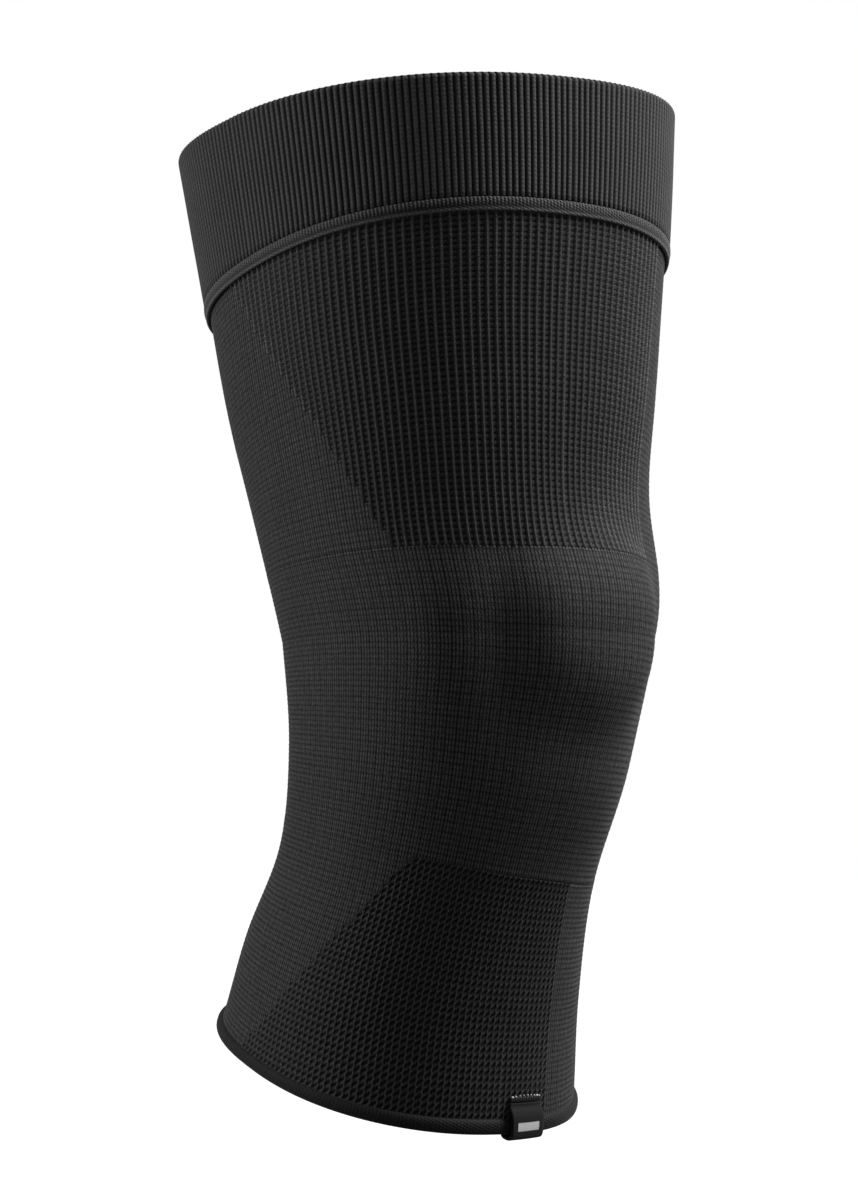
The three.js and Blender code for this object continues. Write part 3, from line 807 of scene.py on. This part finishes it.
# %% A socket that can be reckoned with
class Wire:
    def __init__(self, tree, socket=None):
        self.tree = tree
        self.socket = socket

    def node(self, kind, settings=None, sockets=None, output=0):
        made = self.tree.nodes.new(kind)
        for name, value in (settings or {}).items():
            setattr(made, name, value)
        for key, value in (sockets or {}).items():
            if isinstance(value, Wire):
                value.into(made, key)
            else:
                made.inputs[key].default_value = value
        return Wire(self.tree, made.outputs[output])

    def into(self, node, key):
        self.tree.links.new(self.socket, node.inputs[key])

    def maths(self, operation, *values):
        return self.node("ShaderNodeMath", {"operation": operation}, dict(enumerate(values)))

    def __add__(self, other):
        return self.maths("ADD", self, other)

    def __sub__(self, other):
        return self.maths("SUBTRACT", self, other)

    def __rsub__(self, other):
        return self.maths("SUBTRACT", other, self)

    def __mul__(self, other):
        return self.maths("MULTIPLY", self, other)

    def __abs__(self):
        return self.maths("ABSOLUTE", self)

    __radd__ = __add__
    __rmul__ = __mul__

    def fraction(self):
        return self.maths("FRACT", self)

    def cosine(self):
        return self.maths("COSINE", self)

    def swing(self, times=1):
        """From 1 to -1 and back, so many times from one whole number to the next."""
        return (self * (2 * math.pi * times)).cosine()

    def between(self, low, high):
        """0 below low, 1 above high and even between them."""
        settings = {"clamp": True}
        return self.node("ShaderNodeMapRange", settings, {0: self, 1: low, 2: high})

    def mix(self, dark, light):
        """A colour between two, by this value."""
        return self.node("ShaderNodeMix", {"data_type": "RGBA"}, {0: self, 6: dark, 7: light}, 2)

    def bump(self, shader, strength, depth):
        """Tilts a shader's surface by this height. depth is in metres."""
        sockets = {"Height": self, "Strength": strength, "Distance": depth}
        self.node("ShaderNodeBump", None, sockets).into(shader, "Normal")


# %% [markdown]
# ## Starting a finish
# Every finish here starts the same way: a material with one main shader, whose plain numbers are
# set on its own sockets. What varies is worked out from a place: the object's own coordinates for
# fuzz and clouds, or the knit's coordinates for anything that follows the stitches.


# %% Materials and places
def new_finish(name, numbers):
    """A material, its main shader with some sockets set, and a wire to reckon with."""
    material = bpy.data.materials.new(name)
    material.use_nodes = True
    shader = material.node_tree.nodes["Principled BSDF"]
    for socket, value in numbers.items():
        shader.inputs[socket].default_value = value
    return material, shader, Wire(material.node_tree)


def object_place(wire):
    return wire.node("ShaderNodeTexCoord", output="Object")


def knit_place(wire):
    """The knit's coordinates: both together, across and up."""
    knit = wire.node("ShaderNodeUVMap", {"uv_map": "knit"})
    across, up = (wire.node("ShaderNodeSeparateXYZ", None, {0: knit}, i) for i in (0, 1))
    return knit, across, up


def noise(wire, place, scale, detail):
    return wire.node("ShaderNodeTexNoise", None, {"Vector": place, "Scale": scale, "Detail": detail})


def grey(value):
    return (value, value, value, 1)


# %% [markdown]
# ## Finishes
# Black elastane knit is never one black. The crowns of its yarns catch the light, and the gaps
# swallow it. That light and shade are painted into the colour here, which runs from a near black
# in the gaps to a dark grey on the crowns, with a random grain and soft clouds on top. One colour
# with a bump would look like rubber. Its fibres stand up as a thin fuzz, which brightens where the
# cloth turns away from the eye: the shader's sheen does that. A fine bump adds the twist of the
# yarn, which is too small for the mesh.

# %% The knit finish
# the grey where the painted shade is deepest, in the gaps between yarns
GAP_GREY = 0.001
TONE_TOP = 1.25  # the painted light, times the grain, that reaches the crown's full grey
YARN_ROUGHNESS = 0.75
SHEEN_ROUGHNESS = 0.35
CLOUD_SCALE = 55.0  # to a metre: clouds about 2 cm wide
CLOUD_SHARE = 0.2
FUZZ_SCALE = 1900.0  # to a metre: specks about half a millimetre wide
UNEVEN_SCALE = 1.6  # to a repeat of the knit
WANDER = 0.3  # how far a stitch may wander, in courses
YARN_BUMP = 0.00012


def knit_finish(name, crown, yarn, sheen, specular):
    """crown is the grey where painted light is full, on the yarn's crowns. yarn gives a bump height
    and a painted shade from the knit's coordinates.
    """
    numbers = {"Roughness": YARN_ROUGHNESS, "Specular IOR Level": specular}
    numbers |= {"Sheen Weight": sheen, "Sheen Roughness": SHEEN_ROUGHNESS}
    material, shader, wire = new_finish(name, numbers)
    knit, u, v = knit_place(wire)
    painted_light = wire.node("ShaderNodeAttribute", {"attribute_name": "painted_light"}, output="Fac")
    cloud = noise(wire, object_place(wire), CLOUD_SCALE, 3.0)
    fuzz = noise(wire, object_place(wire), FUZZ_SCALE, 2.0)
    uneven = noise(wire, knit, UNEVEN_SCALE, 1.0)
    height, painted_shade = yarn(u, v + (uneven - 0.5) * WANDER)
    grain = (0.6 + 0.8 * fuzz.between(0.3, 0.7)) * (0.7 + 0.6 * uneven)
    # painted light and shade from the stitch and the yarn, times a random grain and soft clouds
    grain_and_painted_light = painted_light * painted_shade * grain * (1 - CLOUD_SHARE / 2 + CLOUD_SHARE * cloud)
    grain_and_painted_light.between(0.0, TONE_TOP).mix(grey(GAP_GREY), grey(crown)).into(shader, "Base Color")
    (height + fuzz * 0.6).bump(shader, 0.6, YARN_BUMP)
    return material


# %% Yarns
# each yarn gives a bump height and a painted shade: darker in its gaps and on its twist's low turns
def off_line(x):
    """0 on a thin line at each whole number, and 1 away from it."""
    return abs((x + 0.5).fraction() - 0.5).between(0.04, 0.24)


def plain_yarn(u, v):
    """The two legs of each stitch make a small V, and thin lines of painted shade
    mark the gaps between wales and courses.
    """
    lean = abs((u * 2).fraction() - 0.5)
    painted_shade = (off_line(u * 2) * 0.8 + 0.2) * (off_line(v) * 0.35 + 0.65)
    return (v + lean * 0.9).swing() * 0.5, painted_shade


def open_yarn(u, v):
    twist = (v - abs(u.fraction() - 0.5) * 1.2).swing(2)
    return twist * 0.5, twist * 0.15 + 0.85


def rib_yarn(u, v):
    """A rib's second coordinate is in mm, so it is turned into courses."""
    twist = (v * (1 / COURSE) + abs(u.fraction() - 0.5) * 0.8).swing()
    return twist * 0.4, twist * 0.1 + 0.9


def edging_yarn(u, v):
    twist = (v * 1.2 + u * 0.5).swing()
    return twist * 0.5, twist * 0.15 + 0.85


# %% The five knits
# slot: the finish's name, crown's grey, yarn, sheen and specular
KNIT_FINISHES = {
    "knit": ("plain_knit_yarn", 0.036, plain_yarn, 0.02, 0.01),
    "open_knit": ("open_knit_yarn", 0.052, open_yarn, 0.02, 0.03),
    "ribbing": ("ribbing_yarn", 0.024, rib_yarn, 0.11, 0.07),
    "seam_band": ("overcast_yarn", 0.06, edging_yarn, 0.1, 0.07),
    "hem": ("hem_yarn", 0.014, edging_yarn, 0.05, 0.03),
}
KNIT_PIECES = {
    "knit": (knee_knit, thigh_knit, calf_knit),
    "open_knit": (thigh_mesh, calf_mesh),
    "ribbing": (cuff,),
    "seam_band": (band,),
    "hem": (hem,),
}
for slot, pieces in KNIT_PIECES.items():
    finish = knit_finish(*KNIT_FINISHES[slot])
    for piece in pieces:
        piece.data.materials.append(finish)
print("finishes:", ", ".join(KNIT_FINISHES))

# %% [markdown]
# ## Label and thread
# The tape is a satin weave, so it is smoother than the knit and has a fine speckle. It carries one
# plain pale stripe, which could be a strip of mesh of its own. It is woven in, so it is a change of
# colour here. The threads are polyester, with a little gloss.

# %% The label's finish
STRIPE_LOW, STRIPE_HIGH = 5.4, 7.8  # mm down the tape from its top
STRIPE_HALF = 4.3
STRIPE_SOFT = 0.2
STRIPE_GREY = 0.22
TAPE_DARK, TAPE_LIGHT = 0.0008, 0.009
WARP, WEFT = 18, 14  # radians to a millimetre
SPECKLE_SCALE = 3.2  # to a millimetre
WEAVE_BUMP = 0.00008


def tape_finish():
    numbers = {"Roughness": 0.7, "Specular IOR Level": 0.03, "Sheen Weight": 0.02}
    material, shader, wire = new_finish("woven_label_tape", numbers)
    knit, u, v = knit_place(wire)
    weave = (u * WARP).cosine() * (v * WEFT).cosine()
    speckle = noise(wire, knit, SPECKLE_SCALE, 3.0)
    ground = (speckle + weave * 0.12).between(0.42, 0.64).mix(grey(TAPE_DARK), grey(TAPE_LIGHT))
    below_top = v.between(STRIPE_LOW, STRIPE_LOW + STRIPE_SOFT)
    above_end = 1 - v.between(STRIPE_HIGH - STRIPE_SOFT, STRIPE_HIGH)
    within = 1 - abs(u).between(STRIPE_HALF - STRIPE_SOFT, STRIPE_HALF)
    (below_top * above_end * within).mix(ground, grey(STRIPE_GREY)).into(shader, "Base Color")
    (weave + speckle).bump(shader, 0.5, WEAVE_BUMP)
    return material


label.data.materials.append(tape_finish())
print("label stripe from", STRIPE_LOW, "to", STRIPE_HIGH, "mm")

# %% The threads' finishes
PLY_SCALE = 2500.0  # to a metre
PLY_BUMP = 0.0001


def thread_finish(name, dark, light, roughness):
    numbers = {"Roughness": roughness, "Specular IOR Level": 0.25}
    material, shader, wire = new_finish(name, numbers)
    ply = noise(wire, object_place(wire), PLY_SCALE, 2.0)
    ply.between(0.3, 0.7).mix(grey(dark), grey(light)).into(shader, "Base Color")
    ply.bump(shader, 0.4, PLY_BUMP)
    return material


tack.data.materials.append(thread_finish("bar_thread", 0.001, 0.004, 0.5))
pale_threads.data.materials.append(thread_finish("pale_thread", 0.12, 0.3, 0.7))
print("threads: one dark, one pale")

# %% [markdown]
# ## Floor and light
# The sleeve is shown as on a leg, so it stands above a pale floor with nothing under it. Soft light
# comes from all round, as in a white tent. A tent that looks white to the camera gives a black knit
# too much light, and its fine gaps fill up with grey. A darker tent would look grey itself. So this
# one is full white where the camera sees it, and gives half as much as light. The floor glows a
# little for the same reason, and throws no light on the sleeve. Two tall lamps brighten its sides.

# %% The floor
FLOOR_HEIGHT = -0.4
FLOOR_HALF = 40
floor_mesh = bpy.data.meshes.new("pale_floor")
floor_corners = [(-1, -1), (1, -1), (1, 1), (-1, 1)]
corners = [(x * FLOOR_HALF, y * FLOOR_HALF, FLOOR_HEIGHT) for x, y in floor_corners]
floor_mesh.from_pydata(corners, [], [(0, 1, 2, 3)])
floor = bpy.data.objects.new("pale_floor", floor_mesh)
bpy.context.collection.objects.link(floor)
floor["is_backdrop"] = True
paint_numbers = {"Base Color": grey(0.97), "Roughness": 0.9, "Specular IOR Level": 0.1}
paint_numbers |= {"Emission Color": grey(1.0), "Emission Strength": 0.6}
floor_mesh.materials.append(new_finish("pale_paint", paint_numbers)[0])
floor.visible_diffuse = False
floor.visible_glossy = False
print("floor at", FLOOR_HEIGHT, "m")

# %% The white tent
FILL_LIGHT = 0.5
world = bpy.data.worlds.new("white_tent")
bpy.context.scene.world = world
world.use_nodes = True
world.node_tree.nodes.remove(world.node_tree.nodes["Background"])
tent = Wire(world.node_tree)
seen = tent.node("ShaderNodeBackground", None, {"Color": grey(1.0), "Strength": 1.0})
fill = tent.node("ShaderNodeBackground", None, {"Color": grey(1.0), "Strength": FILL_LIGHT})
from_camera = tent.node("ShaderNodeLightPath", output="Is Camera Ray")
both = tent.node("ShaderNodeMixShader", None, {0: from_camera, 1: fill, 2: seen})
both.into(world.node_tree.nodes["World Output"], "Surface")
print("the tent gives", FILL_LIGHT, "of its white as light")


# %% Two lamps
LAMP_DISTANCE = 1.4
LAMP_WIDTH, LAMP_HEIGHT = 0.6, 1.2


def toward(turn, rise):
    """The direction from the sleeve to a viewer or lamp. 0 is in front, and 90 degrees is +X."""
    turn, rise = math.radians(turn), math.radians(rise)
    flat = math.cos(rise)
    return Vector((math.sin(turn) * flat, -math.cos(turn) * flat, math.sin(rise)))


def face_sleeve(thing, away):
    thing.rotation_euler = (-away).to_track_quat("-Z", "Y").to_euler()


def lamp(name, turn, rise, power):
    data = bpy.data.lights.new(name, "AREA")
    data.shape = "RECTANGLE"
    data.size = LAMP_WIDTH
    data.size_y = LAMP_HEIGHT
    data.energy = power
    made = bpy.data.objects.new(name, data)
    bpy.context.collection.objects.link(made)
    made.location = toward(turn, rise) * LAMP_DISTANCE
    face_sleeve(made, toward(turn, rise))
    print(f"{name}: {power} watts")


lamp("right_lamp", turn=55, rise=46, power=100)
lamp("left_lamp", turn=-122, rise=24, power=42)

# %% [markdown]
# ## The camera
# The camera looks slightly up at the knee from the front and the left, with a long lens. A short
# lens nearby would show the same angle, but it would swell the knee and shrink both ends.

# %% Camera
VIEW_TURN, VIEW_RISE = -35, -3
CAMERA_DISTANCE = 1.5
LENS = 147.4
SENSOR = 36
AIM_RIGHT, AIM_UP = -11.3, 11.9  # mm from the knee's middle, seen from the camera
to_camera = toward(VIEW_TURN, VIEW_RISE)
camera_right = toward(VIEW_TURN + 90, 0)
camera_up = camera_right.cross(-to_camera)
aim = (camera_right * AIM_RIGHT + camera_up * AIM_UP) * MM
camera_data = bpy.data.cameras.new("camera")
camera_data.lens = LENS
camera_data.sensor_width = SENSOR
camera = bpy.data.objects.new("camera", camera_data)
bpy.context.collection.objects.link(camera)
camera.location = aim + to_camera * CAMERA_DISTANCE
face_sleeve(camera, to_camera)
bpy.context.scene.camera = camera
bpy.context.scene.view_settings.view_transform = "Standard"
print("camera at", [round(x, 3) for x in camera.location])

# %% [markdown]
# ## Size
# The looks may stand a little proud of the frame, as fabric does, but the sleeve keeps its size.
# The two boxes are written out to be compared.

# %% The two boxes
seen_low, seen_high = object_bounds()
proud = [*(cad_low - seen_low), *(seen_high - cad_high)]
print("stands proud by, mm:", [round(v / MM, 2) for v in proud])
